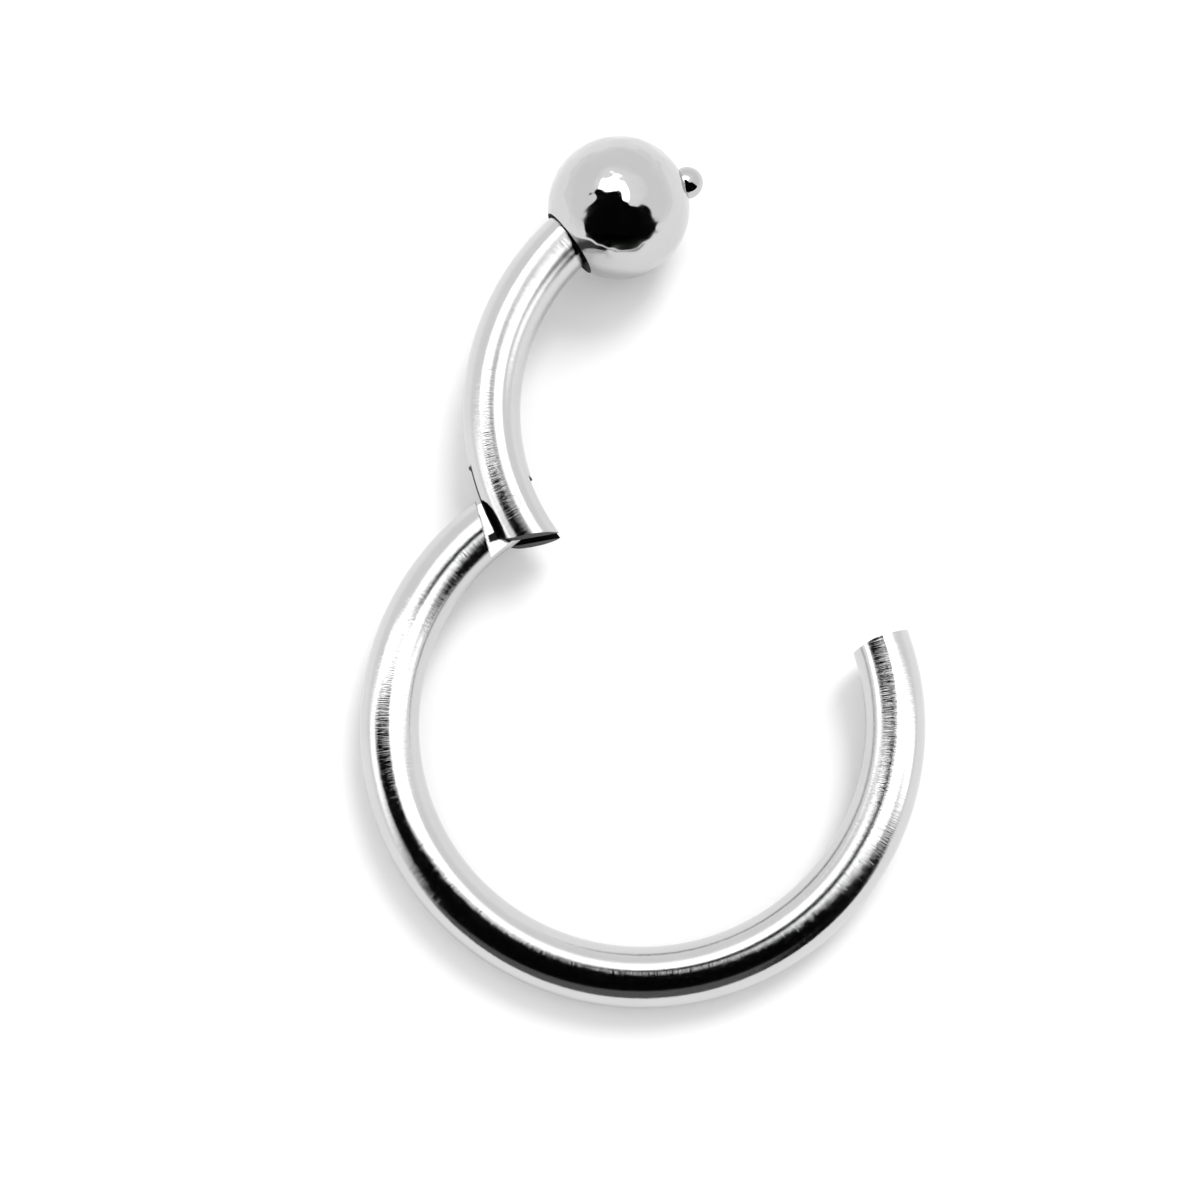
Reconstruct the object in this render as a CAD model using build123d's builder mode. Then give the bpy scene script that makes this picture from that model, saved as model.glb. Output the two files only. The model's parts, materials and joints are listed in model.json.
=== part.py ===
from build123d import *
from math import acos, asin, atan2, cos, degrees, hypot, radians, sin, sqrt
import os

# Hinged segment ring, lying open on a flat surface.
# A round wire bent to a circle, with one stretch of it hinged to swing out as a gate.
# The gate ends in a captive ball, and a small bead past the ball clicks into the ring's free end.
# Bearings are in degrees, counter-clockwise from the right, about the centre of the wire's circle.

# Driving dimensions, in millimetres and degrees
wire_diameter = 1.6
inner_diameter = 12.0
ball_diameter = 4.0
free_end_bearing = 18.6
hinge_bearing = 120.9
opening_turn = 84.3
uphill_bearing = 74.57

# Hinge
pin_diameter = 0.5
tongue_thickness = 0.56
tongue_wall = 0.3
tongue_heel = 0.35
shoulder_slant = 15.0
slot_slant = 33.0

# Catch
post_diameter = 0.56
post_seat_depth = 0.8
bead_diameter = 0.9
bead_stand_off = 0.06
ball_inset = 0.08
dimple_diameter = 2.0
seat_bite = 0.1
edge_break = 0.04

# Clearances
stop_clearance = 0.05
swing_clearance = 0.03
side_clearance = 0.03
turning_clearance = 0.025
press_gap = 0.01
ball_clearance = 0.04
bead_clearance = 0.05

# Sizes that follow from them
wire_radius = wire_diameter / 2
ring_radius = (inner_diameter + wire_diameter) / 2
inner_radius = inner_diameter / 2
outer_radius = ring_radius + wire_radius
ball_radius = ball_diameter / 2
ball_circle_radius = ring_radius - ball_inset
ball_seat_radius = ball_radius + ball_clearance
dimple_radius = dimple_diameter / 2
pin_radius = pin_diameter / 2
post_radius = post_diameter / 2
bead_radius = bead_diameter / 2
tongue_radius = pin_radius + turning_clearance + tongue_wall


def turn_between(radius, other_radius, distance):
    """Turn about the centre between two places at these radii, this far apart."""
    return degrees(acos((radius**2 + other_radius**2 - distance**2) / (2 * radius * other_radius)))


def at(radius, bearing):
    """Place on a plane, from its distance to the centre and its bearing."""
    return Vector(radius * cos(radians(bearing)), radius * sin(radians(bearing)))


# Bearings along the closed circle: the closed ball bites a little into the inner edge of the free end
ball_bearing = free_end_bearing + turn_between(inner_radius, ball_circle_radius, ball_seat_radius - seat_bite)
bead_turn = turn_between(ball_circle_radius, ball_circle_radius, ball_radius + bead_stand_off)
bead_bearing = ball_bearing - bead_turn

# The gate's wire is seated in a square-angled dimple of the ball, whose floor is as wide as the wire
dimple_depth = dimple_radius - wire_radius
floor_distance = sqrt(ball_radius**2 - dimple_radius**2) - dimple_depth
floor_bearing = ball_bearing + turn_between(ring_radius, ball_circle_radius, floor_distance)
segment_end_bearing = floor_bearing + turn_between(ring_radius, ring_radius, ball_clearance)
post_turn = turn_between(ball_circle_radius, ball_circle_radius, floor_distance + post_seat_depth)
post_foot_bearing = ball_bearing + post_turn

# The open gate's circle is the ring's circle turned about the hinge
hinge_place = at(ring_radius, hinge_bearing)
gate_centre = hinge_place - at(ring_radius, hinge_bearing + opening_turn)
open_ball_place = gate_centre + at(ball_circle_radius, ball_bearing + opening_turn)

# At rest the ball and the far side of the ring both touch the surface, so the ring's plane is tilted
uphill = at(1, uphill_bearing)
slope_length = open_ball_place.dot(uphill) + ring_radius
rest_tilt = degrees(asin((ball_radius - wire_radius) / slope_length))
lean = -sin(radians(rest_tilt))
ring_normal = Vector(lean * uphill.X, lean * uphill.Y, cos(radians(rest_tilt)))
centre_height = ring_radius * sin(radians(rest_tilt)) + wire_radius

# The origin is under the middle of the whole ring
flat_plane = Plane(origin=(0, 0, 0), x_dir=(1, 0, 0), z_dir=ring_normal)
far_edge = flat_plane.from_local_coords(open_ball_place).Y + ball_radius
near_edge = -ring_radius * sqrt(1 - ring_normal.Y**2) - wire_radius
ring_plane = Plane(origin=(0, -(far_edge + near_edge) / 2, centre_height), x_dir=(1, 0, 0), z_dir=ring_normal)


def turned_plane(place, turn):
    """Plane on the ring's plane, with its origin at this place and turned about its normal."""
    x_dir = ring_plane.x_dir.rotate(Axis((0, 0, 0), ring_plane.z_dir), turn)
    return Plane(origin=ring_plane.from_local_coords(place), x_dir=x_dir, z_dir=ring_plane.z_dir)


# The gate is drawn closed on its own plane, which carries it to its open place
gate_plane = turned_plane(gate_centre, opening_turn)

# The shoulder faces the hinge at a slant, just clear of the open gate's outer side
shoulder_bearing = hinge_bearing + 90 - shoulder_slant
shoulder_direction = at(1, shoulder_bearing)
shoulder_distance = (gate_centre - hinge_place).dot(shoulder_direction) + outer_radius + stop_clearance
swing_radius = shoulder_distance - swing_clearance
slot_radius = hypot(tongue_radius, wire_radius) + side_clearance
slot_half_width = tongue_thickness / 2 + side_clearance

# Planes at the hinge: along the wire and square to the shoulder, on the ring and on the gate
wire_plane = turned_plane(hinge_place, hinge_bearing + 90)
shoulder_plane = turned_plane(hinge_place, shoulder_bearing)
gate_wire_plane = turned_plane(hinge_place, hinge_bearing + 90 + opening_turn)
slot_end_plane = turned_plane(hinge_place, hinge_bearing + 90 + opening_turn - slot_slant)
gate_tail_plane = turned_plane(hinge_place, shoulder_bearing + opening_turn)
dimple_floor = gate_centre + at(ring_radius, floor_bearing + opening_turn)
dimple_plane = turned_plane(dimple_floor, floor_bearing + 90 + opening_turn)

# Reach of the cuts past the wire
reach = 2 * wire_diameter


def wire_arc(plane, circle_radius, radius, start, end, mode=Mode.ADD):
    """Round wire along a circle about a plane's origin, between two bearings."""
    start_dir = plane.x_dir.rotate(Axis((0, 0, 0), plane.z_dir), start)
    section = Plane(origin=plane.origin, x_dir=start_dir, z_dir=start_dir.cross(plane.z_dir))
    with BuildSketch(section) as profile:
        with Locations((circle_radius, 0)):
            Circle(radius)
    revolve(profile.sketch, axis=Axis(plane.origin, plane.z_dir), revolution_arc=end - start, mode=mode)


def sphere_at(plane, bearing, radius, mode=Mode.ADD):
    """Sphere centred on the ball's circle of a plane."""
    with Locations(plane.from_local_coords(at(ball_circle_radius, bearing))):
        Sphere(radius, mode=mode)


# Tongue: the ring's flat end at the hinge, round about the pin and as wide as the wire on the inner side
hinge_turn = turn_between(ring_radius, ring_radius, shoulder_distance + wire_diameter)
with BuildPart() as tongue:
    wire_arc(ring_plane, ring_radius, wire_radius, hinge_bearing - hinge_turn, hinge_bearing + hinge_turn)
    with BuildSketch(wire_plane):
        Circle(tongue_radius)
        with Locations((tongue_heel + reach / 2, (wire_diameter - tongue_radius) / 2)):
            Rectangle(reach, wire_diameter + tongue_radius)
        make_hull()
    extrude(amount=tongue_thickness / 2, both=True, mode=Mode.INTERSECT)

# Ring body: the fixed stretch of wire from the shoulder to the free end, with the tongue
with BuildPart() as ring_body:
    wire_arc(ring_plane, ring_radius, wire_radius, hinge_bearing, 360 + free_end_bearing)
    free_end = ring_plane.from_local_coords(at(ring_radius, free_end_bearing))
    end_face = ring_body.faces().filter_by(GeomType.PLANE).sort_by_distance(free_end)[0]
    fillet(end_face.edges(), edge_break)
    sphere_at(ring_plane, ball_bearing, ball_seat_radius, mode=Mode.SUBTRACT)
    with BuildSketch(shoulder_plane):
        with Locations((shoulder_distance - reach / 2, 0)):
            Rectangle(reach, 2 * reach)
    extrude(amount=wire_diameter, both=True, mode=Mode.SUBTRACT)
    add(tongue.part)

    # Bore for the hinge pin
    with BuildSketch(wire_plane):
        Circle(pin_radius + turning_clearance)
    extrude(amount=wire_diameter, both=True, mode=Mode.SUBTRACT)

    # Catch recess: the path of the bead as it swings out of the free end
    catch_room = bead_radius + bead_clearance
    closed_bead = at(ball_circle_radius, bead_bearing)
    bead_swing = closed_bead - hinge_place
    sphere_at(ring_plane, bead_bearing, catch_room, mode=Mode.SUBTRACT)
    swing_bearing = degrees(atan2(bead_swing.Y, bead_swing.X))
    swing_plane = turned_plane(hinge_place, swing_bearing)
    with BuildSketch(Plane(swing_plane.origin, x_dir=swing_plane.x_dir, z_dir=-swing_plane.y_dir)):
        with Locations((bead_swing.length, 0)):
            Circle(catch_room)
    revolve(
        axis=Axis(swing_plane.origin, swing_plane.z_dir),
        revolution_arc=turn_between(ring_radius, ring_radius, wire_diameter),
        mode=Mode.SUBTRACT,
    )
ring_body.part.label = "ring_body"

# Hinged segment: the swinging stretch of wire, forked at the hinge and cut square where the ball is
with BuildPart() as hinged_segment:
    wire_arc(gate_plane, ring_radius, wire_radius, segment_end_bearing, hinge_bearing + hinge_turn)

    # The tail is rounded about the pin, and then flat, so that it swings past the shoulder
    with BuildSketch(gate_tail_plane):
        with Locations((reach / 2, 0)):
            Rectangle(reach, 2 * reach)
        Circle(swing_radius, mode=Mode.SUBTRACT)
        with Locations((swing_radius / 2, reach / 2)):
            Rectangle(swing_radius, reach, mode=Mode.SUBTRACT)
    extrude(amount=wire_diameter, both=True, mode=Mode.SUBTRACT)

    # Slot for the tongue, open all the way through the tail
    with BuildSketch(gate_wire_plane):
        Circle(slot_radius)
        with Locations((reach / 2, 0)):
            Rectangle(reach, 2 * reach)
    extrude(amount=slot_half_width, both=True, mode=Mode.SUBTRACT)

    # The slot's end is slanted, so that it reaches further along the wire's outer side
    with BuildSketch(slot_end_plane):
        with Locations(((reach - slot_radius) / 2, -reach / 2)):
            Rectangle(reach + slot_radius, reach)
    extrude(amount=slot_half_width, both=True, mode=Mode.SUBTRACT)

    # Bore for the hinge pin, and the post's seat in the ball end
    with BuildSketch(gate_wire_plane):
        Circle(pin_radius + press_gap)
    extrude(amount=wire_diameter, both=True, mode=Mode.SUBTRACT)
    socket_radius = post_radius + press_gap
    wire_arc(gate_plane, ball_circle_radius, socket_radius, ball_bearing, post_foot_bearing, mode=Mode.SUBTRACT)
hinged_segment.part.label = "hinged_segment"

# Ball: captive between the gate's wire and the bead, with a dimple that takes the wire's end,
# a bore along the curve of the post and a countersink where the bead is seated
with BuildPart() as ball:
    sphere_at(gate_plane, ball_bearing, ball_radius)
    with Locations(Plane(dimple_plane.origin, x_dir=dimple_plane.z_dir, z_dir=dimple_plane.x_dir)):
        Cone(
            bottom_radius=wire_radius,
            top_radius=wire_radius + reach,
            height=reach,
            align=(Align.CENTER, Align.CENTER, Align.MIN),
            mode=Mode.SUBTRACT,
        )
    wire_arc(gate_plane, ball_circle_radius, socket_radius, bead_bearing, post_foot_bearing, mode=Mode.SUBTRACT)
    sphere_at(gate_plane, bead_bearing, bead_radius + press_gap, mode=Mode.SUBTRACT)
ball.part.label = "ball"

# Catch pin: a thin curved post through the ball, with the bead on its end
with BuildPart() as catch_pin:
    foot_gap_turn = turn_between(ball_circle_radius, ball_circle_radius, press_gap)
    wire_arc(gate_plane, ball_circle_radius, post_radius, bead_bearing, post_foot_bearing - foot_gap_turn)
    sphere_at(gate_plane, bead_bearing, bead_radius)
catch_pin.part.label = "catch_pin"

# Hinge pin: filed flush with the wire at both ends
with BuildPart() as hinge_pin:
    wire_arc(gate_plane, ring_radius, wire_radius, hinge_bearing - hinge_turn, hinge_bearing + hinge_turn)
    with BuildSketch(gate_wire_plane):
        Circle(pin_radius)
    extrude(amount=wire_diameter, both=True, mode=Mode.INTERSECT)
hinge_pin.part.label = "hinge_pin"

os.makedirs("parts", exist_ok=True)
export_step(ring_body.part, "parts/ring_body.step")
export_step(hinged_segment.part, "parts/hinged_segment.step")
export_step(ball.part, "parts/ball.step")
export_step(catch_pin.part, "parts/catch_pin.step")
export_step(hinge_pin.part, "parts/hinge_pin.step")
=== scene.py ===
# %% [markdown]
# # A hinged segment ring in polished steel
# The ring lies open on a white table. It is a round wire bent to a circle, and one stretch of
# the wire swings out as a gate with a captive ball on its end. The packed model is the frame:
# this script gives every piece a smooth surface and a real finish at exactly the packed sizes.

# %% Load the frame
import json
from math import acos, atan2, cos, degrees, hypot, pi, radians, sin

import bmesh
import bpy
from mathutils import Matrix, Vector
from mathutils.geometry import convex_hull_2d


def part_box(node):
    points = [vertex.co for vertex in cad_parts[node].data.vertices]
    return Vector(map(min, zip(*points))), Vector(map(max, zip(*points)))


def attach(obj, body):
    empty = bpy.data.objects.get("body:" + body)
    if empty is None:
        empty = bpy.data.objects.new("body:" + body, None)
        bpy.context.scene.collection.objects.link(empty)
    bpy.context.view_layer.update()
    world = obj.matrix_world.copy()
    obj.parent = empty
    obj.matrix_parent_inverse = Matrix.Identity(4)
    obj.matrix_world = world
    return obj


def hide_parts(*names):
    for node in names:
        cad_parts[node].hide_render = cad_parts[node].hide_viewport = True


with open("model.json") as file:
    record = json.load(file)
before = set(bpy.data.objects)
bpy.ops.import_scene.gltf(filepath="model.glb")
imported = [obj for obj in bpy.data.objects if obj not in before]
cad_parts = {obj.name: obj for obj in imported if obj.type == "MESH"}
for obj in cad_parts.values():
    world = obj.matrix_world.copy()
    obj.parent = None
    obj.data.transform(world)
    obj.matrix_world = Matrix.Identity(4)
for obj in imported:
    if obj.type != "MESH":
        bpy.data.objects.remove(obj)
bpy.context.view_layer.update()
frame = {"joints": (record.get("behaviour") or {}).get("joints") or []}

# %% [markdown]
# ## The sizes
# Everything follows from the wire, the inner diameter, the ball and a few bearings. A jeweller
# gives the same numbers: gauge, inner diameter, ball size. They are in millimetres, and bearings
# are in degrees, counter-clockwise from the right, about the centre of the wire's circle.

# %% Sizes of the wire, the ball and the catch
wire_diameter = 1.6
inner_diameter = 12.0
ball_diameter = 4.0
free_end_bearing = 18.6
hinge_bearing = 120.9
open_turn = 84.3
ball_inset = 0.08
dimple_diameter = 2.0
ball_clearance = 0.04
seat_bite = 0.1
post_diameter = 0.56
post_seat_depth = 0.8
bead_diameter = 0.9
bead_stand_off = 0.06
bead_clearance = 0.05
press_gap = 0.01

wire_radius = wire_diameter / 2
ring_radius = (inner_diameter + wire_diameter) / 2
ball_radius = ball_diameter / 2
bead_radius = bead_diameter / 2
post_radius = post_diameter / 2
ball_circle_radius = ring_radius - ball_inset


def turn_between(radius, other_radius, distance):
    """Turn about the centre between two places at these radii, this far apart."""
    return degrees(acos((radius**2 + other_radius**2 - distance**2) / (2 * radius * other_radius)))


def at(radius, bearing, height=0):
    """Place in the ring's plane, from its distance to the centre and its bearing."""
    return Vector((radius * cos(radians(bearing)), radius * sin(radians(bearing)), height))


seat_radius = ball_radius + ball_clearance
ball_turn = turn_between(ring_radius - wire_radius, ball_circle_radius, seat_radius - seat_bite)
ball_bearing = free_end_bearing + ball_turn
bead_turn = turn_between(ball_circle_radius, ball_circle_radius, ball_radius + bead_stand_off)
bead_bearing = ball_bearing - bead_turn
floor_distance = (ball_radius**2 - (dimple_diameter / 2) ** 2) ** 0.5 - (dimple_diameter / 2 - wire_radius)
floor_bearing = ball_bearing + turn_between(ring_radius, ball_circle_radius, floor_distance)
segment_end_bearing = floor_bearing + turn_between(ring_radius, ring_radius, ball_clearance)
post_turn = turn_between(ball_circle_radius, ball_circle_radius, floor_distance + post_seat_depth)
post_foot_bearing = ball_bearing + post_turn
print(f"ball at {ball_bearing:.2f} degrees, its dimple's floor at {floor_bearing:.2f}")

# %% [markdown]
# ## The plane of the ring
# The ball is thicker than the wire, so the ring leans a little. The joint's axis is square to the
# wire's circle, so it gives the plane. All pieces are drawn flat in that plane, in millimetres,
# where a cut is a simple prism, and their finished meshes are then laid into the frame in metres.

# %% Lay the ring's plane into the frame
mm_per_metre = 1000
joint = frame["joints"][0]
plane_normal = Vector(joint["axis"]).normalized()
plane_right = (Vector((1, 0, 0)) - plane_normal * plane_normal.x).normalized()
plane_up = plane_normal.cross(plane_right)
plane_turn = Matrix((plane_right, plane_up, plane_normal)).transposed()
hinge_place = at(ring_radius, hinge_bearing)
ring_centre = Vector(joint["pos_m"]) - plane_turn @ (hinge_place / mm_per_metre)
to_metres = Matrix.Scale(1 / mm_per_metre, 4)
into_frame = Matrix.Translation(ring_centre) @ plane_turn.to_4x4() @ to_metres
gate_centre = hinge_place - at(ring_radius, hinge_bearing + open_turn)
open_gate = Matrix.Translation(gate_centre) @ Matrix.Rotation(radians(open_turn), 4, "Z")
centre_mm = [round(c * mm_per_metre, 3) for c in ring_centre]
print("ring centre", centre_mm, "mm, gate centre in the ring's plane", gate_centre)

# %% [markdown]
# ## A small way to write node trees
# Node trees are easier to read as expressions than as a list of links. `Field` wraps one output
# socket, so `noise * 2 - 1` adds the Math nodes for it, and `Graph.node` makes any other node from
# its type, its settings and what goes into its sockets.

# %% Graph and Field


class Field:
    """One output socket that takes part in Python expressions."""

    def __init__(self, graph, socket):
        self.graph = graph
        self.socket = socket

    def other(self, output):
        """Another output of the same node."""
        return Field(self.graph, self.socket.node.outputs[output])

    def math(self, operation, *values):
        return self.graph.node("ShaderNodeMath", {"operation": operation}, dict(enumerate((self, *values))))

    def __add__(self, value):
        return self.math("ADD", value)

    def __radd__(self, value):
        return self.math("ADD", value)

    def __sub__(self, value):
        return self.math("SUBTRACT", value)

    def __rsub__(self, value):
        return self.graph.node("ShaderNodeMath", {"operation": "SUBTRACT"}, {0: value, 1: self})

    def __mul__(self, value):
        return self.math("MULTIPLY", value)

    def __truediv__(self, value):
        return self.math("DIVIDE", value)


class Graph:
    """A node tree that is built node by node."""

    def __init__(self, tree):
        self.tree = tree
        self.nodes = tree.nodes

    def fill(self, socket, value):
        """Link a field to a socket, or set the socket's own value."""
        if isinstance(value, Field):
            self.tree.links.new(value.socket, socket)
        else:
            socket.default_value = value

    def node(self, kind, settings, sockets, output=0):
        """A node of this kind: its settings first, then its sockets, by name or by place."""
        made = self.nodes.new(kind)
        for name, value in settings.items():
            setattr(made, name, value)
        for name, value in sockets.items():
            self.fill(made.inputs[name], value)
        return Field(self, made.outputs[output]) if made.outputs else made

    def smooth_step(self, value, low, high):
        """0 below low, 1 above high, and a soft step between them."""
        limits = {"Value": value, "From Min": low, "From Max": high, "To Min": 0.0, "To Max": 1.0}
        return self.node("ShaderNodeMapRange", {"interpolation_type": "SMOOTHSTEP"}, limits)

    def noise(self, vector, scale, detail, rough):
        """Noise from 0 to 1 over a vector."""
        sockets = {"Vector": vector, "Scale": scale, "Detail": detail, "Roughness": rough}
        return self.node("ShaderNodeTexNoise", {"noise_dimensions": "3D"}, sockets)

    def vector(self, x, y, z):
        return self.node("ShaderNodeCombineXYZ", {}, {"X": x, "Y": y, "Z": z})

    def object_place(self, output="Object"):
        """The place on the object, in metres."""
        return self.node("ShaderNodeTexCoord", {}, {}, output)

    def grey(self, shade):
        return self.node("ShaderNodeCombineColor", {}, {"Red": shade, "Green": shade, "Blue": shade})

    def bump(self, height, depth):
        """A normal from a height field from 0 to 1 and its depth in metres."""
        return self.node("ShaderNodeBump", {}, {"Strength": 1.0, "Distance": depth, "Height": height})


def new_material(name):
    material = bpy.data.materials.new(name)
    material.use_nodes = True
    graph = Graph(material.node_tree)
    graph.nodes.clear()
    return material, graph


print("node helpers ready:", [name for name in vars(Graph) if not name.startswith("_")])

# %% [markdown]
# ## Steel drawn and polished across the wire
# Jewellery wire is drawn, bent and then polished on a wheel that runs across it, which leaves
# very fine grooves round the wire. They smear every reflection along the wire and break the edge
# of a highlight into short ragged streaks. The grooves need two coordinates, one along the wire
# and one round it, and both follow from the place on the piece: the bearing about the circle's
# centre, and the offset from the wire's centreline. So the material needs no UV map, and a cut
# face carries the same pattern as the surface beside it.

# %% Coordinates along and round the wire


def wire_coordinates(graph, centre):
    """Millimetres along the circle, and the offset from its centreline outwards and upwards."""
    sockets = {0: graph.object_place(), 1: tuple(into_frame @ centre)}
    offset = graph.node("ShaderNodeVectorMath", {"operation": "SUBTRACT"}, sockets)
    parts = []
    for direction in (plane_right, plane_up, plane_normal):
        sockets = {0: offset, 1: tuple(direction)}
        part = graph.node("ShaderNodeVectorMath", {"operation": "DOT_PRODUCT"}, sockets, "Value")
        parts.append(part * mm_per_metre)
    right, up, height = parts
    distance = (right * right + up * up).math("SQRT")
    along = up.math("ARCTAN2", right) * ring_radius
    return along, distance - ring_radius, height


print("a wire has", round(2 * pi * ring_radius, 1), "mm of centreline in a full turn")

# %% [markdown]
# The steel itself is one Principled shader. Its roughness drifts a little over the surface, where
# handling has dulled the polish, and the grooves are a bump of a few thousandths of a millimetre.
# Two noises make the grooves, one for the scratches of the wheel's coarse grit and a finer one for
# hairlines. Both are stretched across the wire: they change fast along it and slowly round it.

# %% Polished wire
scratches_per_mm = 14.0
scratch_change = 2.4
scratch_depth = 0.07
hairlines_per_mm = 60.0
hairline_change = 1.6
hairline_depth = 0.07
speck_depth = 0.035
specks_per_mm = 28.0
patches_per_mm = 0.9
wire_shade = 0.54
shade_drift = 0.06
groove_shine = 0.04
wire_roughness = 0.07
roughness_drift = 0.04
painted_shade_darkness = 0.98
painted_shade_roughness = 0.3


def finish_material(graph, shade, roughness, normal):
    """Principled steel with this grey, roughness and normal."""
    sockets = {"Base Color": graph.grey(shade), "Metallic": 1.0, "Roughness": roughness, "Normal": normal}
    steel = graph.node("ShaderNodeBsdfPrincipled", {}, sockets)
    graph.node("ShaderNodeOutputMaterial", {}, {"Surface": steel})


def wire_steel(name, centre, groove_depth, painted_shade_in):
    """Polished wire with grooves round it. groove_depth is in metres."""
    material, graph = new_material(name)
    along, outwards, height = wire_coordinates(graph, centre)
    scratch_place = (along * scratches_per_mm, outwards * scratch_change, height * scratch_change)
    scratches = graph.noise(graph.vector(*scratch_place), scale=1.0, detail=2.0, rough=0.6)
    hairline_place = (along * hairlines_per_mm, outwards * hairline_change, height * hairline_change)
    hairlines = graph.noise(graph.vector(*hairline_place), scale=1.0, detail=1.0, rough=0.5)
    grooves = scratches * scratch_depth + hairlines * hairline_depth
    wire_place = graph.vector(along, outwards, height)
    patches = graph.noise(wire_place, patches_per_mm, detail=3.0, rough=0.6)
    specks = graph.noise(wire_place, specks_per_mm, detail=3.0, rough=0.6)
    roughness = wire_roughness + patches * roughness_drift + specks * roughness_drift
    shade = wire_shade + patches * shade_drift + grooves * groove_shine
    # Painted shade: the mask darkens the colour and roughens the steel in the hinge's gaps.
    painted_shade = painted_shade_in(graph, along, outwards, height, specks)
    shade = shade * (1 - painted_shade * painted_shade_darkness)
    roughness = roughness + painted_shade * painted_shade_roughness
    normal = graph.bump(grooves + specks * speck_depth, groove_depth)
    finish_material(graph, shade, roughness, normal)
    return material


print("the wire's grooves:", scratches_per_mm, "scratches and", hairlines_per_mm, "hairlines in a millimetre")

# %% [markdown]
# The hinge's gaps lie in shade, and that shade is painted into the wire's colour, with a rougher
# polish. It lies on the flat of the tongue beside the shoulder, apart from a bright strip and a
# corner, and it draws a thin black line along the mouth of the slot. Both are masks made from the
# place on the wire, so they need no picture. Lengths are in millimetres and the bearing is about
# the open gate's own circle.

# %% Painted shade in the hinge's gaps
shoulder_slant = 15.0
painted_shade_strip = (0.66, 0.7)
painted_shade_notch = (0.5, 0.54)
notch_width = 0.18
painted_shade_corner = (0.72, 0.76)
painted_shade_wobble = 0.12
painted_shade_turn = (0.2, 0.22)
painted_shade_height = (0.3, 0.31)
slot_mouth_bearing = 192.6
slot_line_length = 3.0
slot_line_fade = 0.1
slot_line_height = (0.37, 0.41)
slot_line_outwards = (0.5, 0.6)


def gap_painted_shade(graph, along, outwards, height, specks):
    """Painted shade on the tongue's flat in the gap beside the shoulder, all but a bright strip and a corner.
    """
    turn = along / ring_radius - radians(hinge_bearing)
    reach_out = outwards + ring_radius
    along_place = reach_out * turn.math("SINE")
    across_place = reach_out * turn.math("COSINE") - ring_radius
    slant = radians(shoulder_slant)
    to_shoulder = along_place * cos(slant) + across_place * sin(slant)
    inwards = along_place * sin(slant) - across_place * cos(slant)
    ragged = (specks - 0.5) * painted_shade_wobble
    notch = graph.smooth_step(inwards, *painted_shade_notch) * notch_width
    shaded_part = 1 - graph.smooth_step(to_shoulder + ragged - notch, *painted_shade_strip)
    shaded_part = shaded_part * (1 - graph.smooth_step(inwards + ragged, *painted_shade_corner))
    near_pin = 1 - graph.smooth_step(turn.math("ABSOLUTE"), *painted_shade_turn)
    return shaded_part * near_pin * (1 - graph.smooth_step(height, *painted_shade_height))


def slot_painted_shade(graph, along, outwards, height, specks):
    """Painted shade along the mouth of the gate's slot, on the outer side of the wire."""
    first = radians(slot_mouth_bearing - 360) * ring_radius
    last = first + slot_line_length
    stretch = graph.smooth_step(along, first, first + slot_line_fade)
    stretch = stretch * (1 - graph.smooth_step(along, last, last + slot_line_fade))
    mouth = 1 - graph.smooth_step(height.math("ABSOLUTE"), *slot_line_height)
    return stretch * mouth * graph.smooth_step(outwards, *slot_line_outwards)


groove_depth = 4e-5
# The ring's wire gets the painted shade on the tongue's flat, and the gate's wire gets it along its slot.
ring_wire_steel = wire_steel("polished_ring_wire", Vector((0, 0, 0)), groove_depth, gap_painted_shade)
gate_wire_steel = wire_steel("polished_gate_wire", gate_centre, groove_depth, slot_painted_shade)
print("wire steels", [m.name for m in (ring_wire_steel, gate_wire_steel)])

# %% [markdown]
# A ball is tumbled, not wheeled, so it has no grooves. It is a mirror with a faint orange peel and
# a little haze. The faces that only a saw or a file has reached are matt and lined, and their black
# is painted shade for the gaps and hollows that they lie in.

# %% Mirror steel and saw cuts
peel_scale = 900.0
haze_scale = 420.0
haze_step = (0.45, 0.75)
haze_shade = 0.05
ball_roughness = 0.06
haze_roughness = 0.09
saw_line_scale = 9000.0
saw_line_depth = 4e-6
saw_roughness = 0.4
saw_line_roughness = 0.15


def ball_steel(name, shade_level, dent_depth):
    """Mirror-polished steel with the faint orange peel that a ball keeps from tumbling."""
    material, graph = new_material(name)
    peel = graph.noise(graph.object_place(), peel_scale, detail=2.0, rough=0.5)
    haze = graph.noise(graph.object_place(), haze_scale, detail=4.0, rough=0.6)
    roughness = ball_roughness + graph.smooth_step(haze, *haze_step) * haze_roughness
    finish_material(graph, shade_level + haze * haze_shade, roughness, graph.bump(peel, dent_depth))
    return material


def sawn_steel_painted_shade(name, shade_level):
    """A matt, lined cut face whose grey is shade_level; near black, that is painted shade for its gap."""
    material, graph = new_material(name)
    lines = graph.noise(graph.object_place(), saw_line_scale, detail=3.0, rough=0.6)
    shade = shade_level + lines * shade_level
    roughness = saw_roughness + lines * saw_line_roughness
    finish_material(graph, shade, roughness, graph.bump(lines, saw_line_depth))
    return material


mirror_steel = ball_steel("mirror_polished_ball", shade_level=0.52, dent_depth=1.1e-4)
bead_steel = ball_steel("welded_bead", shade_level=0.5, dent_depth=1.5e-4)
# The sawn faces are black with painted shade, for the gaps and hollows that they lie in.
sawn_face_painted_shade = sawn_steel_painted_shade("sawn_painted_shade", shade_level=0.005)
print("other steels", [m.name for m in (mirror_steel, bead_steel, sawn_face_painted_shade)])

# %% [markdown]
# ## The wire as a rule
# Every stretch of wire here is an arc of a circle swept by a round section, so one Geometry Nodes
# tree makes them all: an arc, a circle, and Curve to Mesh with capped ends. Its sizes are named
# inputs, set on each modifier before the object is first evaluated.

# %% Geometry Nodes: a bent round wire


def new_input(tree, name, kind):
    return tree.interface.new_socket(name=name, in_out="INPUT", socket_type=kind)


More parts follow.
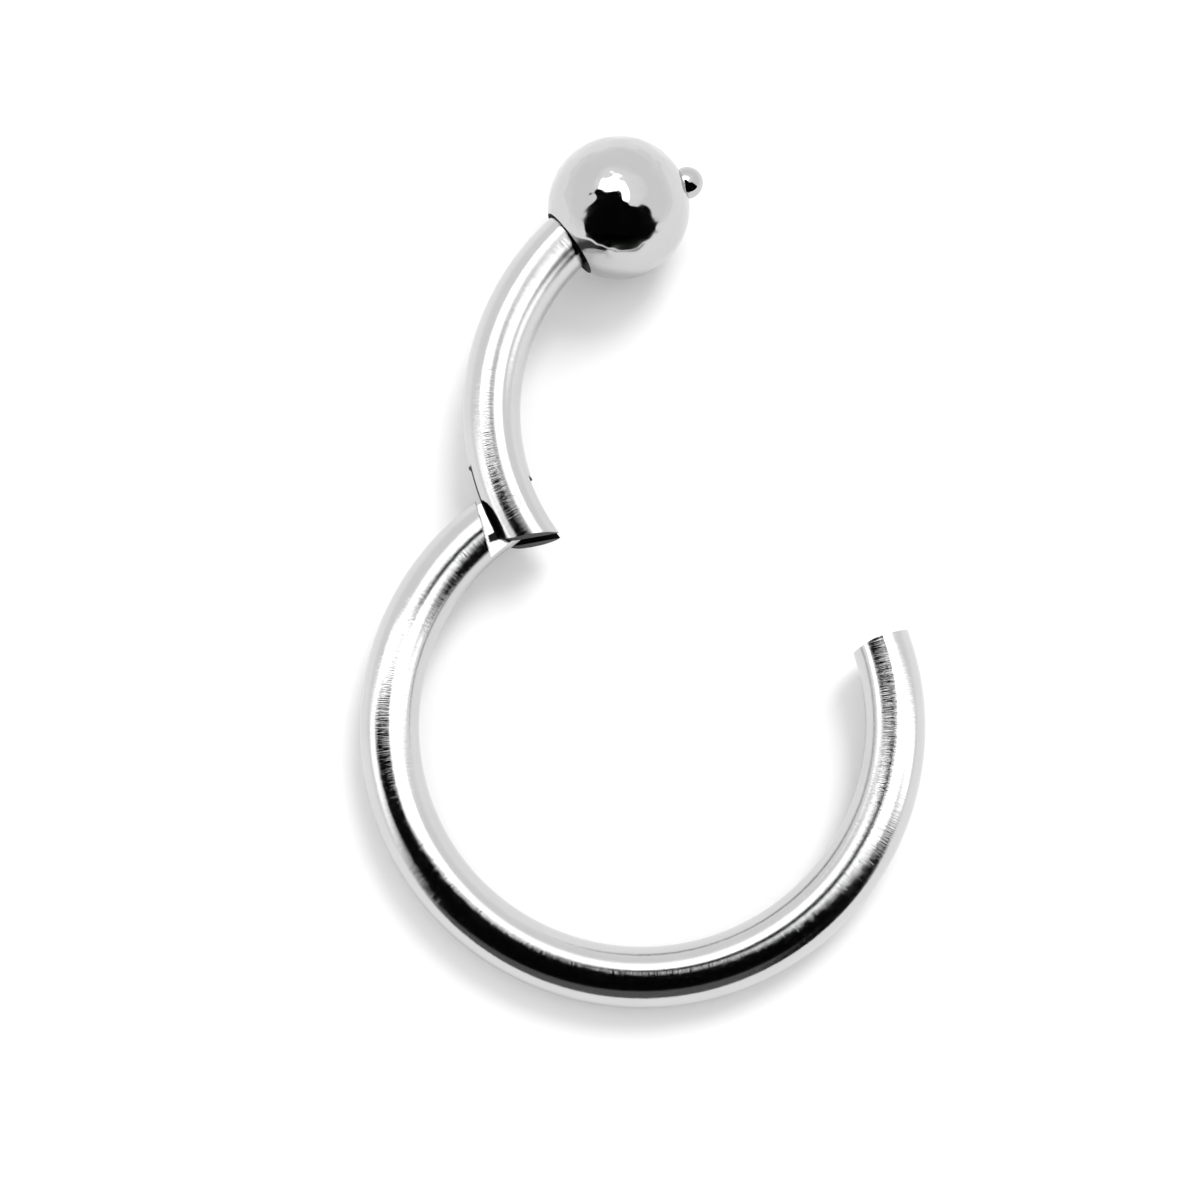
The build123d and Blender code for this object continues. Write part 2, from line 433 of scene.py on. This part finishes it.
def bent_wire_tree():
    tree = bpy.data.node_groups.new("bent_wire", "GeometryNodeTree")
    for name in ("Circle radius", "Wire radius", "Start", "Turn"):
        new_input(tree, name, "NodeSocketFloat")
    for name in ("Steps", "Sides"):
        new_input(tree, name, "NodeSocketInt")
    new_input(tree, "Steel", "NodeSocketMaterial")
    tree.interface.new_socket(name="Wire", in_out="OUTPUT", socket_type="NodeSocketGeometry")
    graph = Graph(tree)
    given = graph.node("NodeGroupInput", {}, {}, "Circle radius")
    arc_sockets = {
        "Resolution": given.other("Steps"),
        "Radius": given,
        "Start Angle": given.other("Start"),
        "Sweep Angle": given.other("Turn"),
    }
    arc = graph.node("GeometryNodeCurveArc", {"mode": "RADIUS"}, arc_sockets, "Curve")
    section_sockets = {"Resolution": given.other("Sides"), "Radius": given.other("Wire radius")}
    section = graph.node("GeometryNodeCurvePrimitiveCircle", {"mode": "RADIUS"}, section_sockets, "Curve")
    sweep_sockets = {"Curve": arc, "Profile Curve": section, "Fill Caps": True}
    wire = graph.node("GeometryNodeCurveToMesh", {}, sweep_sockets)
    real = graph.node("GeometryNodeRealizeInstances", {}, {"Geometry": wire})
    steel = graph.node("GeometryNodeSetMaterial", {}, {"Geometry": real, "Material": given.other("Steel")})
    graph.node("NodeGroupOutput", {}, {"Wire": steel})
    return tree


bent_wire = bent_wire_tree()
print("tree", bent_wire.name, "with inputs", [i.name for i in bent_wire.interface.items_tree])

# %% [markdown]
# `new_from_object` on the evaluated object turns what the modifiers make into a plain mesh. A piece
# stays in the ring's plane until its finished mesh is moved into the frame, and its object never
# leaves the origin. A modifier's input is set by its socket's identifier, before the first look at it.

# %% Make a wire and settle it
wire_sides = 96


def new_object(name, mesh):
    made = bpy.data.objects.new(name, mesh)
    bpy.context.scene.collection.objects.link(made)
    return made


def object_of(name, shape):
    """An object with the mesh of this bmesh, which is then freed."""
    mesh = bpy.data.meshes.new(name)
    shape.to_mesh(mesh)
    shape.free()
    return new_object(name, mesh)


def settle(piece):
    """Replace a piece's mesh by what its modifiers make of it."""
    bpy.context.view_layer.update()
    settled = bpy.data.meshes.new_from_object(piece.evaluated_get(bpy.context.evaluated_depsgraph_get()))
    piece.modifiers.clear()
    piece.data = settled
    return piece


def wire(name, steel, circle_radius, radius, start, end, sides=wire_sides, steps_per_degree=2):
    """Round wire in the ring's plane between two bearings, about the plane's origin."""
    piece = new_object(name, bpy.data.meshes.new(name))
    modifier = piece.modifiers.new("wire", "NODES")
    modifier.node_group = bent_wire
    sizes = {
        "Circle radius": circle_radius,
        "Wire radius": radius,
        "Start": radians(start),
        "Turn": radians(end - start),
        "Steps": max(3, round((end - start) * steps_per_degree)),
        "Sides": sides,
        "Steel": steel,
    }
    for socket in bent_wire.interface.items_tree:
        if socket.name in sizes:
            modifier[socket.identifier] = sizes[socket.name]
    return settle(piece)


def place(piece, matrix):
    piece.data.transform(matrix)
    return piece


def turned(place_at, bearing):
    """The plane's own axes, moved to a place and turned to a bearing."""
    return Matrix.Translation(place_at) @ Matrix.Rotation(radians(bearing), 4, "Z")


print("a full turn of wire has", 360 * 2 * wire_sides, "faces")

# %% [markdown]
# A saw, a file, a drill and a round burr make every cut on a ring like this. Their sweeps are the
# cutters here: a prism for the saw and the drill, a sphere for the burr. Exact booleans take them
# out of the wire, and the cut faces get the steel that is given for them: the wire's own steel, or
# a sawn steel that is black with painted shade.

# %% Cutters and cuts


def cut(piece, cutters, operation="DIFFERENCE", steel=None):
    """Boolean a piece with cutters, whose faces get this steel. The cutters are then removed."""
    for cutter in cutters:
        cutter.data.materials.clear()
        cutter.data.materials.append(steel or piece.data.materials[0])
        modifier = piece.modifiers.new("cut", "BOOLEAN")
        modifier.operation = operation
        modifier.solver = "EXACT"
        modifier.material_mode = "TRANSFER"
        modifier.object = cutter
    settle(piece)
    for cutter in cutters:
        bpy.data.objects.remove(cutter)
    return piece


def prism(outline, half_height):
    """A block of this outline, half_height above and below the plane."""
    shape = bmesh.new()
    corners = [shape.verts.new((p[0], p[1], -half_height)) for p in outline]
    base = shape.faces.new(corners)
    grown = bmesh.ops.extrude_face_region(shape, geom=[base])["geom"]
    lifted = [part for part in grown if isinstance(part, bmesh.types.BMVert)]
    bmesh.ops.translate(shape, vec=(0, 0, 2 * half_height), verts=lifted)
    bmesh.ops.recalc_face_normals(shape, faces=shape.faces)
    return object_of("prism", shape)


def arc_points(radius, start, end, count=97):
    """Points of an arc about the origin, first to last."""
    return [at(radius, start + (end - start) * i / (count - 1)) for i in range(count)]


def circle_points(radius):
    """Corners of a circle about the origin, none of them twice."""
    return arc_points(radius, 0, 360)[:-1]


def block(lengths, widths, half_height, matrix):
    """A rectangular block between two lengths and two widths, placed by the matrix."""
    corners = [(lengths[i], widths[j]) for i, j in ((0, 0), (1, 0), (1, 1), (0, 1))]
    return place(prism(corners, half_height), matrix)


def smooth_ball(name, centre, radius, halvings=5):
    """A cube whose edges are halved this many times and whose corners are pushed out to a sphere."""
    shape = bmesh.new()
    bmesh.ops.create_cube(shape, size=2)
    bmesh.ops.subdivide_edges(shape, edges=shape.edges[:], cuts=2**halvings - 1, use_grid_fill=True)
    for vertex in shape.verts:
        even = Vector([sin(c * pi / 4) / cos(c * pi / 4) for c in vertex.co])
        vertex.co = even.normalized() * radius + centre
    bmesh.ops.recalc_face_normals(shape, faces=shape.faces)
    return object_of(name, shape)


def hole(radius, matrix):
    """A long round cutter, square to the plane."""
    return place(prism(circle_points(radius), wire_diameter), matrix)


print("cutters: prism, block, hole, ball, and the bent wire itself")

# %% [markdown]
# ## The hinge, worked out from the gate's open place
# The gate stops against a slanted shoulder that is filed on the ring. The shoulder lies just clear
# of the open gate's outer side, and the gate's tail is rounded about the pin so that it swings past.
# The tongue is a flat plate in the middle of the wire, and the fork's slot is a little wider. The
# slot ends in a slant, so its mouth is longer on the outer side, where the photograph shows it as
# a thin dark line beside the gate.

# %% Hinge sizes
pin_radius = 0.25
turning_clearance = 0.025
pin_wall = 0.3
tongue_thickness = 0.56
tongue_radius = pin_radius + turning_clearance + pin_wall
tongue_heel = 0.35
side_clearance = 0.03
swing_clearance = 0.03
stop_clearance = 0.05
slot_slant = 33.0
shoulder_bearing = hinge_bearing + 90 - shoulder_slant
gate_reach = (gate_centre - hinge_place).dot(at(1, shoulder_bearing))
shoulder_distance = gate_reach + ring_radius + wire_radius + stop_clearance
swing_radius = shoulder_distance - swing_clearance
slot_radius = hypot(tongue_radius, wire_radius) + side_clearance
slot_half = tongue_thickness / 2 + side_clearance
hinge_turn = turn_between(ring_radius, ring_radius, shoulder_distance + wire_diameter)
reach = 2 * wire_diameter
print(f"shoulder {shoulder_distance:.3f} mm from the pin")

# %% [markdown]
# ## Broken edges
# A jeweller breaks every sharp edge so that it doesn't scratch, and the narrow band catches the
# light. A Bevel modifier makes it where two faces meet sharply, and its hardened normals keep the
# flats flat. Booleans and bevels leave corners that all but touch, so they are welded. Welding
# would spoil the hardened normals, so these are stored on the corners first and set again after.

# %% Weld and break the edges
edge_width = 0.018
edge_angle = radians(35)
cut_weld = 1e-5
edge_weld = 2e-5


def merge_close(shape, distance):
    bmesh.ops.remove_doubles(shape, verts=shape.verts, dist=distance)
    bmesh.ops.dissolve_degenerate(shape, edges=shape.edges, dist=distance)


def weld(piece, distance):
    """Merge corners that lie on each other and drop the hair-thin faces, with the shading kept."""
    mesh = piece.data
    normals = [part for normal in mesh.corner_normals for part in normal.vector]
    mesh.attributes.new("shading", "FLOAT_VECTOR", "CORNER").data.foreach_set("vector", normals)
    shape = bmesh.new()
    shape.from_mesh(mesh)
    merge_close(shape, distance)
    shape.to_mesh(mesh)
    shape.free()
    shading = mesh.attributes["shading"]
    mesh.normals_split_custom_set([corner.vector.copy() for corner in shading.data])
    mesh.attributes.remove(mesh.attributes["shading"])
    return piece


def break_edges(piece, width=edge_width):
    """Bevel the sharp edges of a cut piece and keep its flats flat."""
    shape = bmesh.new()
    shape.from_mesh(piece.data)
    merge_close(shape, cut_weld)
    shape.to_mesh(piece.data)
    shape.free()
    piece.data.shade_smooth()
    bevel = piece.modifiers.new("edges", "BEVEL")
    bevel.width = width
    bevel.segments = 2
    bevel.limit_method = "ANGLE"
    bevel.angle_limit = edge_angle
    bevel.harden_normals = True
    return weld(settle(piece), edge_weld)


print("edges are broken by", edge_width, "mm")

# %% [markdown]
# ## The ring body
# The tongue is the wire itself, cut down to a flat plate that is round about the pin. A long arc of
# wire is then sawn off at the slanted shoulder and joined with the tongue. Booleans suit this,
# because the tongue's rim has to lie exactly on the round of the wire.

# %% Tongue
tongue_start, tongue_end = hinge_bearing - hinge_turn, hinge_bearing + hinge_turn
tongue = wire("tongue", ring_wire_steel, ring_radius, wire_radius, tongue_start, tongue_end)
heel = [(tongue_heel, -tongue_radius), (tongue_heel + reach, -tongue_radius)]
heel += [(tongue_heel + reach, wire_diameter), (tongue_heel, wire_diameter)]
tongue_points = [Vector(p) for p in heel] + [p.xy for p in circle_points(tongue_radius)]
tongue_outline = [tongue_points[i] for i in convex_hull_2d(tongue_points)]
tongue_plate = prism(tongue_outline, tongue_thickness / 2)
cut(tongue, [place(tongue_plate, turned(hinge_place, hinge_bearing + 90))], "INTERSECT")
print("tongue", len(tongue.data.polygons), "faces")

# %% [markdown]
# The closed gate brings the ball against the free end, where a little recess takes the bead. The
# recess runs on along the bead's path, a circle about the pin, so that the bead can swing out.

# %% Path of the bead
closed_ball = at(ball_circle_radius, ball_bearing)
closed_bead = at(ball_circle_radius, bead_bearing)
bead_swing = closed_bead - hinge_place
swing_bearing = degrees(atan2(bead_swing.y, bead_swing.x))
swing_end = swing_bearing + turn_between(ring_radius, ring_radius, wire_diameter)
catch_room = bead_radius + bead_clearance
bead_path = wire("bead_path", ring_wire_steel, bead_swing.length, catch_room, swing_bearing, swing_end)
place(bead_path, Matrix.Translation(hinge_place))
print(f"the bead swings on {bead_swing.length:.2f} mm about the pin")

# %% [markdown]
# The ring's arc runs from the hinge round to the free end. The saw cut makes the shoulder, and the
# tongue is joined on. The ball's seat, the bead's recess and the pin's bore are then cut in one go.

# %% Ring body
ring_arc = (hinge_bearing, 360 + free_end_bearing)
ring_body = wire("ring_body_steel", ring_wire_steel, ring_radius, wire_radius, *ring_arc)
shoulder_place = turned(hinge_place, shoulder_bearing)
shoulder_cut = block((-reach, shoulder_distance), (-reach, reach), wire_diameter, shoulder_place)
# The shoulder's sawn face is black with painted shade, for the gap between it and the gate.
cut(ring_body, [shoulder_cut], steel=sawn_face_painted_shade)
cut(ring_body, [tongue], "UNION")
ball_seat = smooth_ball("ball_seat", closed_ball, seat_radius)
bead_seat = smooth_ball("bead_seat", closed_bead, catch_room, halvings=4)
hinge_bore = hole(pin_radius + turning_clearance, Matrix.Translation(hinge_place))
cut(ring_body, [ball_seat, bead_seat, bead_path, hinge_bore])
break_edges(ring_body)
print("ring body", len(ring_body.data.polygons), "faces")

# %% [markdown]
# ## The hinged segment
# The gate is drawn closed, about its own centre, and then turned open about the hinge. Its tail is
# rounded so that it clears the shoulder as it swings, and slotted for the tongue. The slot is open
# all the way through. The pin's bore crosses the fork, and a thin socket takes the ball's post.

# %% Hinged segment
gate_arc = (segment_end_bearing, tongue_end)
segment = wire("hinged_segment_steel", gate_wire_steel, ring_radius, wire_radius, *gate_arc)
place(segment, open_gate)
tail_outline = [(reach, -reach), (reach, reach), (swing_radius, reach)]
tail_outline += arc_points(swing_radius, 0, -90) + [(0, -reach)]
tail_cut = place(prism(tail_outline, wire_diameter), turned(hinge_place, shoulder_bearing + open_turn))
gate_along = turned(hinge_place, hinge_bearing + 90 + open_turn)
slot_outline = [(0, -reach), (reach, -reach), (reach, reach), (0, reach)] + arc_points(slot_radius, 90, 270)
slot_cut = place(prism(slot_outline, slot_half), gate_along)
slant_place = gate_along @ Matrix.Rotation(radians(-slot_slant), 4, "Z")
slot_end = block((-slot_radius, reach), (-reach, 0), slot_half, slant_place)
pin_bore = hole(pin_radius + press_gap, gate_along)
bore_radius = post_radius + press_gap
socket_arc = (ball_bearing, post_foot_bearing)
socket = wire("socket", gate_wire_steel, ball_circle_radius, bore_radius, *socket_arc, sides=32)
place(socket, open_gate)
# The tail, the slot, the pin's bore and the socket get the sawn steel, black with painted shade.
cut(segment, [tail_cut, slot_cut, slot_end, pin_bore, socket], steel=sawn_face_painted_shade)
break_edges(segment)
print("hinged segment", len(segment.data.polygons), "faces")

# %% [markdown]
# ## The ball, the catch pin and the hinge pin
# The ball starts as a cube that is subdivided and pushed out to the sphere, because a latitude
# grid would pinch its reflections at the poles. A square-angled dimple takes the wire's end, and a
# thin bore takes the post.

# %% Ball
post_sides = 48
ball_place = open_gate @ at(ball_circle_radius, ball_bearing)
ball = smooth_ball("ball_steel", ball_place, ball_radius, halvings=6)
ball.data.materials.append(mirror_steel)


def dimple_cutter():
    shape = bmesh.new()
    stand = Matrix.Translation((0, 0, reach / 2))
    radii = {"radius1": wire_radius, "radius2": wire_radius + reach}
    bmesh.ops.create_cone(shape, cap_ends=True, segments=128, depth=reach, matrix=stand, **radii)
    floor_place = turned(at(ring_radius, floor_bearing), floor_bearing + 90)
    along_wire = open_gate @ floor_place @ Matrix.Rotation(pi / 2, 4, "Y")
    return place(object_of("dimple", shape), along_wire)


bead_place = open_gate @ at(ball_circle_radius, bead_bearing)
bore_arc = (bead_bearing, post_foot_bearing)
post_bore = wire("post_bore", mirror_steel, ball_circle_radius, bore_radius, *bore_arc, sides=post_sides)
place(post_bore, open_gate)
countersink = smooth_ball("countersink", bead_place, bead_radius + press_gap, halvings=4)
# The dimple's faces get the sawn steel, black with painted shade for the gap round the wire's end.
cut(ball, [dimple_cutter()], steel=sawn_face_painted_shade)
cut(ball, [post_bore, countersink])
break_edges(ball)
print("ball", len(ball.data.polygons), "faces")

# %% [markdown]
# The catch pin is a post with a bead on its outer end, joined into one skin. The hinge pin's ends
# are filed flush, so each end is a scrap of the wire's own round surface: the pin is what the gate's
# wire and a round bar have in common.

# %% Catch pin and hinge pin
pin_edge_width = 0.006
foot_gap_turn = turn_between(ball_circle_radius, ball_circle_radius, press_gap)
post_arc = (bead_bearing, post_foot_bearing - foot_gap_turn)
catch_pin = wire("catch_pin_steel", bead_steel, ball_circle_radius, post_radius, *post_arc, sides=post_sides)
place(catch_pin, open_gate)
cut(catch_pin, [smooth_ball("bead", bead_place, bead_radius)], "UNION")
catch_pin.data.shade_smooth()
weld(catch_pin, cut_weld)

hinge_pin = wire("hinge_pin_steel", gate_wire_steel, ring_radius, wire_radius, tongue_start, tongue_end)
place(hinge_pin, open_gate)
cut(hinge_pin, [hole(pin_radius, gate_along)], "INTERSECT")
break_edges(hinge_pin, pin_edge_width)
for pin in (catch_pin, hinge_pin):
    print(pin.name, len(pin.data.polygons), "faces")

# %% [markdown]
# ## Into the frame
# Each finished piece is laid into the frame, stands in for its packed node, which is hidden, and
# rides on that node's body.

# %% Ride the bodies
pieces = {
    "ring_body": (ring_body, "ring", "polished_wire"),
    "hinged_segment": (segment, "gate", "polished_wire"),
    "ball": (ball, "gate", "polished_ball"),
    "catch_pin": (catch_pin, "gate", "catch_steel"),
    "hinge_pin": (hinge_pin, "gate", "pin_steel"),
}
for node, (piece, body, slot) in pieces.items():
    place(piece, into_frame)
    low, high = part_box(node)
    corners = [v.co for v in piece.data.vertices]
    new_low = Vector([min(c[i] for c in corners) for i in range(3)])
    new_high = Vector([max(c[i] for c in corners) for i in range(3)])
    gap = max((new_low - low).length, (new_high - high).length) * mm_per_metre
    print(f"{node}: differs from the packed box by {gap:.3f} mm")
    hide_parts(node)
    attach(piece, body)

# %% [markdown]
# ## Table and studio
# The table is matt white and the light comes from all round, so the table burns out to white and
# only the contact shadows stay. A grain too faint to see by itself keeps it from being quite even.

# %% Table
table_size = 0.5
table_shade = 0.9
table_grain = 0.02
table_grain_scale = 900.0
table_roughness = 0.9
table_shine = 0.1


def table_material():
    material, graph = new_material("white_table")
    grain = graph.noise(graph.object_place(), table_grain_scale, detail=4.0, rough=0.6)
    shade = graph.grey(table_shade + grain * table_grain)
    sockets = {"Base Color": shade, "Roughness": table_roughness, "Specular IOR Level": table_shine}
    surface = graph.node("ShaderNodeBsdfPrincipled", {}, sockets)
    graph.node("ShaderNodeOutputMaterial", {}, {"Surface": surface})
    return material


bpy.ops.mesh.primitive_plane_add(size=table_size * 2)
table = bpy.context.object
table.name = "table"
table.data.materials.append(table_material())
print("table", table_size * 2, "m wide")

# %% [markdown]
# What shapes polished steel is what it reflects. Here that is a set of cards, flat sheets with an
# even glow that show in the steel and nowhere else: a card lights no table and throws no shadow.
# One set can't suit the ring, the gate and the ball at once, so light linking keeps most cards to
# some of the pieces. A see-through card adds its glow to what lies behind it, and the pieces that
# it doesn't light see straight through it. Lamp panels hang above the dark flag and fills just
# under it, so a fill brightens a part of the steel in which the flag would be black. A card's edge
# may be soft, which is how a band of black fades out along the wire.

# %% Card and panel
card_height = 33
lamp_height = 36
fill_drop = 0.2
under_flag = card_height - fill_drop


def card_material(name, glow, see_through, fade):
    """Even light, which fades between two distances to the back if fade is given."""
    material, graph = new_material(name)
    shown = 1.0
    if fade:
        back = graph.node("ShaderNodeSeparateXYZ", {}, {"Vector": graph.object_place()}, "Y")
        shown = 1 - graph.smooth_step(back - ring_centre.y, *fade)
    clear = graph.node("ShaderNodeBsdfTransparent", {}, {})
    light = graph.node("ShaderNodeEmission", {}, {"Color": (1, 1, 1, 1), "Strength": glow})
    if see_through:
        light = graph.node("ShaderNodeAddShader", {}, {0: light, 1: clear})
    light = graph.node("ShaderNodeMixShader", {}, {0: shown, 1: clear, 2: light})
    graph.node("ShaderNodeOutputMaterial", {}, {"Surface": light})
    return material


def card(name, corners, glow, lights=None, see_through=False, fade=None):
    """A flat studio card that shows in steel alone. Its glow may be kept to some of the pieces."""
    shape = bmesh.new()
    shape.faces.new([shape.verts.new(c) for c in corners])
    made = place(object_of(name, shape), into_frame)
    made.data.materials.append(card_material(name, glow, see_through, fade))
    made.data.materials[0].cycles.emission_sampling = "NONE"
    made.visible_camera = False
    made.visible_diffuse = False
    made.visible_transmission = False
    made.visible_volume_scatter = False
    made.visible_shadow = False
    if lights:
        lit = bpy.data.collections.new(name)
        for piece in lights:
            lit.objects.link(piece)
        made.light_linking.receiver_collection = lit
    return made


def panel(name, outline, glow, lights, height=lamp_height, fade=None):
    """A level see-through card. Outlines are in the ring's plane, in millimetres."""
    return card(name, [(x, y, height) for x, y in outline], glow, lights, True, fade)


print("lamp panels at", lamp_height, "mm, the dark flag at", card_height, "mm")

# %% [markdown]
# The dark flag hangs over the near side of the ring and shows as the black bands. The shape of its
# back edge was found from where black turns to white along the wire. Two curtains hang from its
# front edge almost down to the table, so that the near sides of the wires stay dark too.

# %% Dark flag and curtains
flag_glow = 0.002
flag_back = [(-66, -12), (-44, 1), (-24, 15), (-20, 17), (3, 17), (6, 12), (9, 11)]
flag_back += [(12, 5), (30, 2), (45, -4), (62, -16)]
flag_front = [(118, -37), (150, -54), (-110, -54)]
flag_fade = (0.013, 0.016)
curtain_top = (-54, card_height)
curtain_foot = (-80, 4)
wires = (ring_body, segment, hinge_pin)


def curtain(name, left, right, glow):
    """A dark card from the flag's front edge down to the front of the table."""
    corners = [(right, *curtain_top), (left, *curtain_top), (left, *curtain_foot), (right, *curtain_foot)]
    return card(name, corners, glow, wires)


card("dark_flag", [(x, y, card_height) for x, y in flag_back + flag_front], flag_glow, fade=flag_fade)
curtain("dark_curtain", left=-110, right=40, glow=0.12)
curtain("side_curtain", left=40, right=150, glow=0.005)
print("the flag has", len(flag_back + flag_front), "corners")

# %% [markdown]
# The ring's own cards are a broad lamp panel behind it, dimmer towards its far side, and fills that
# split the flag's reflection into bands. Three bright fills give the white bands over the left arm,
# the middle and the right arm. Two dimmer ones at the sides turn black into grey there, and two
# small ones hang low over the ring's left side and lighten the black band in that arm.

# %% Cards for the ring
ring_only = (ring_body,)
ring_panel = [(-24, 12), (34, -5), (34, 65), (-20, 65), (-24, 38)]
ring_panel_glow = 1.6
ring_panel_fade = (0.014, 0.045)
fill_glow = 2.4
side_fill_glow = 1.1
low_left_glow = 1.0
low_right_glow = 1.9
low_height = 5
fill_left = [(-24, 16), (-24, 8.6), (-4.5, 7.6), (-4.5, 16)]
fill_middle = [(-4.5, 16), (-4.5, 8.4), (1, 8.4), (4, 12), (4, 16)]
fill_right = [(12.5, 16), (12.5, 9.5), (10, 3.8), (2.2, 2.8), (2.2, 1.6), (4.6, -3.2)]
fill_right += [(12.9, -6), (21, -9.2), (34, -12), (34, 16)]
low_left = [(-12.5, 1.9), (-6.2, 1.5), (-6.2, 3.3), (-12.5, 5.6)]
low_right = [(-6.2, -2.2), (-3, -2.2), (-3, 2.2), (-6.2, 3.3)]
side_right = [(34, 16), (34, -13), (72, -23), (120, -33), (150, -33), (150, 16)]
side_left = [(-110, 16), (-110, -54), (-60, -30), (-38, -9), (-46, -3), (-49, 10), (-24, 8.6), (-24, 16)]

panel("ring_panel", ring_panel, ring_panel_glow, ring_only, fade=ring_panel_fade)
panel("ring_fill_left", fill_left, fill_glow, ring_only, under_flag)
panel("ring_low_left", low_left, low_left_glow, ring_only, low_height)
panel("ring_low_right", low_right, low_right_glow, ring_only, low_height)
panel("ring_fill_right", fill_right, fill_glow, ring_only, under_flag)
panel("ring_fill_middle", fill_middle, fill_glow, ring_only, under_flag)
panel("ring_right_fill", side_right, side_fill_glow, ring_only, under_flag)
panel("ring_left_fill", side_left, side_fill_glow, ring_only, under_flag)
print("the ring's own cards hang at", low_height, under_flag, "and", lamp_height, "mm")

# %% [markdown]
# The gate has a panel on each side. The dark strip between them is the black line along its middle.
# The ball is a mirror of nearly the whole studio, so one round panel is its one big highlight.

# %% Cards for the gate and the ball
gate = (segment, hinge_pin)
balls = (ball, catch_pin)
gate_glow = 1.8
gate_left = [(-36, 15.5), (-20, 15.5), (-7.2, 14.5), (-7.2, 65), (-20, 65), (-24, 40), (-36, 28)]
gate_right = [(3.8, -2), (34, -2), (34, 65), (3.8, 65)]
gate_side_left = [(-110, -54), (-34, -54), (-34, 19), (-110, 19)]
gate_side_right = [(50, 20), (50, -18), (60, -22), (120, -40), (120, 20)]
round_centre = Vector((-2.7, 18, 0))
round_radius = 15.3
round_glow = 4.0
round_outline = [(round_centre + p).xy for p in circle_points(round_radius)]

panel("gate_left_panel", gate_left, gate_glow, gate)
panel("gate_right_panel", gate_right, gate_glow, gate)
panel("gate_left_fill", gate_side_left, side_fill_glow, gate, under_flag)
panel("gate_right_fill", gate_side_right, side_fill_glow, gate, under_flag)
panel("round_panel", round_outline, round_glow, balls)
print("the ball's round panel is", 2 * round_radius, "mm wide")

# %% [markdown]
# The world is the rest of the room: bright walls all round, a little dimmer high up, and a broad
# soft glow overhead. Only the steel's reflections see that. For every other ray the world is plain
# white, because the table needs nothing but even light.

# %% World
wall_glow = 1.12
wall_dimming = 0.08
wall_top = 0.35
overhead_glow = 0.15
overhead_back = 0.1
overhead_size = 0.5
overhead_edge = (0.9, 2.2)
lowest_height = 0.02
table_light = 1.0


def world_light():
    world = bpy.data.worlds.new("studio")
    bpy.context.scene.world = world
    world.use_nodes = True
    world.cycles.sampling_method = "NONE"
    graph = Graph(world.node_tree)
    graph.nodes.clear()
    direction = graph.object_place("Generated")
    right = graph.node("ShaderNodeSeparateXYZ", {}, {"Vector": direction}, "X")
    up, height = right.other("Y"), right.other("Z")
    above = height.math("MAXIMUM", lowest_height)
    to_side = right / above / overhead_size
    to_back = (up / above - overhead_back) / overhead_size
    from_middle = (to_side * to_side + to_back * to_back).math("SQRT")
    glow = 1 - graph.smooth_step(from_middle, *overhead_edge)
    wall = wall_glow - graph.smooth_step(height, 0.0, wall_top) * wall_dimming
    mirrored = wall + glow * overhead_glow
    glossy = graph.node("ShaderNodeLightPath", {}, {}, "Is Glossy Ray")
    choice = {0: glossy, 2: table_light, 3: mirrored}
    strength = graph.node("ShaderNodeMix", {"data_type": "FLOAT"}, choice)
    background = graph.node("ShaderNodeBackground", {}, {"Color": (1, 1, 1, 1), "Strength": strength})
    graph.node("ShaderNodeOutputWorld", {}, {"Surface": background})
    return world


print("world", world_light().name)

# %% [markdown]
# The sky alone leaves only soft contact shadows. One broad lamp from the back right, hidden from
# the steel, adds the faint shadows that lie towards the lower left in the photograph.

# %% Shadow lamp
lamp_strength = 1.4
lamp_width = radians(25)
lamp_direction = Vector((0.4, 0.65, 1.0))


def shadow_lamp():
    lamp = bpy.data.objects.new("shadow_lamp", bpy.data.lights.new("shadow_lamp", "SUN"))
    bpy.context.scene.collection.objects.link(lamp)
    lamp.data.energy = lamp_strength
    lamp.data.angle = lamp_width
    lamp.rotation_euler = lamp_direction.to_track_quat("Z", "Y").to_euler()
    lamp.visible_glossy = False
    return lamp


print("lamp", shadow_lamp().name)
bpy.context.scene.view_settings.view_transform = "Standard"

# %% [markdown]
# ## Camera
# The camera looks down on the ring from its near side. Its place was found by matching the wire's
# outline, the ball and the free end, so the values below are its tilt, its distance and where the
# ring's centre falls in the picture.

# %% Camera
picture_size = 1200
focal_pixels = 2231.7
camera_distance = 60.0
ring_centre_pixel = (641.1, 721.1)
camera_tilt = (11.32, 2.35, 0.15)
sensor_width = 36.0
clip_start, clip_end = 0.001, 10


def add_camera():
    camera = bpy.data.objects.new("camera", bpy.data.cameras.new("camera"))
    bpy.context.scene.collection.objects.link(camera)
    tilt_x, tilt_y, tilt_z = (radians(a) for a in camera_tilt)
    turn = Matrix.Rotation(tilt_y, 4, "Y") @ Matrix.Rotation(tilt_x, 4, "X") @ Matrix.Rotation(tilt_z, 4, "Z")
    mm_per_pixel = camera_distance / focal_pixels
    across = (ring_centre_pixel[0] - picture_size / 2) * mm_per_pixel
    down = (ring_centre_pixel[1] - picture_size / 2) * mm_per_pixel
    eye = -(turn @ Vector((across, -down, -camera_distance)))
    where = into_frame @ eye
    camera.matrix_world = Matrix.Translation(where) @ plane_turn.to_4x4() @ turn
    camera.data.sensor_width = sensor_width
    camera.data.lens = focal_pixels / picture_size * sensor_width
    camera.data.clip_start = clip_start
    camera.data.clip_end = clip_end
    bpy.context.scene.camera = camera
    print("camera at", [round(c * mm_per_metre, 1) for c in where], "mm")


add_camera()

# %% [markdown]
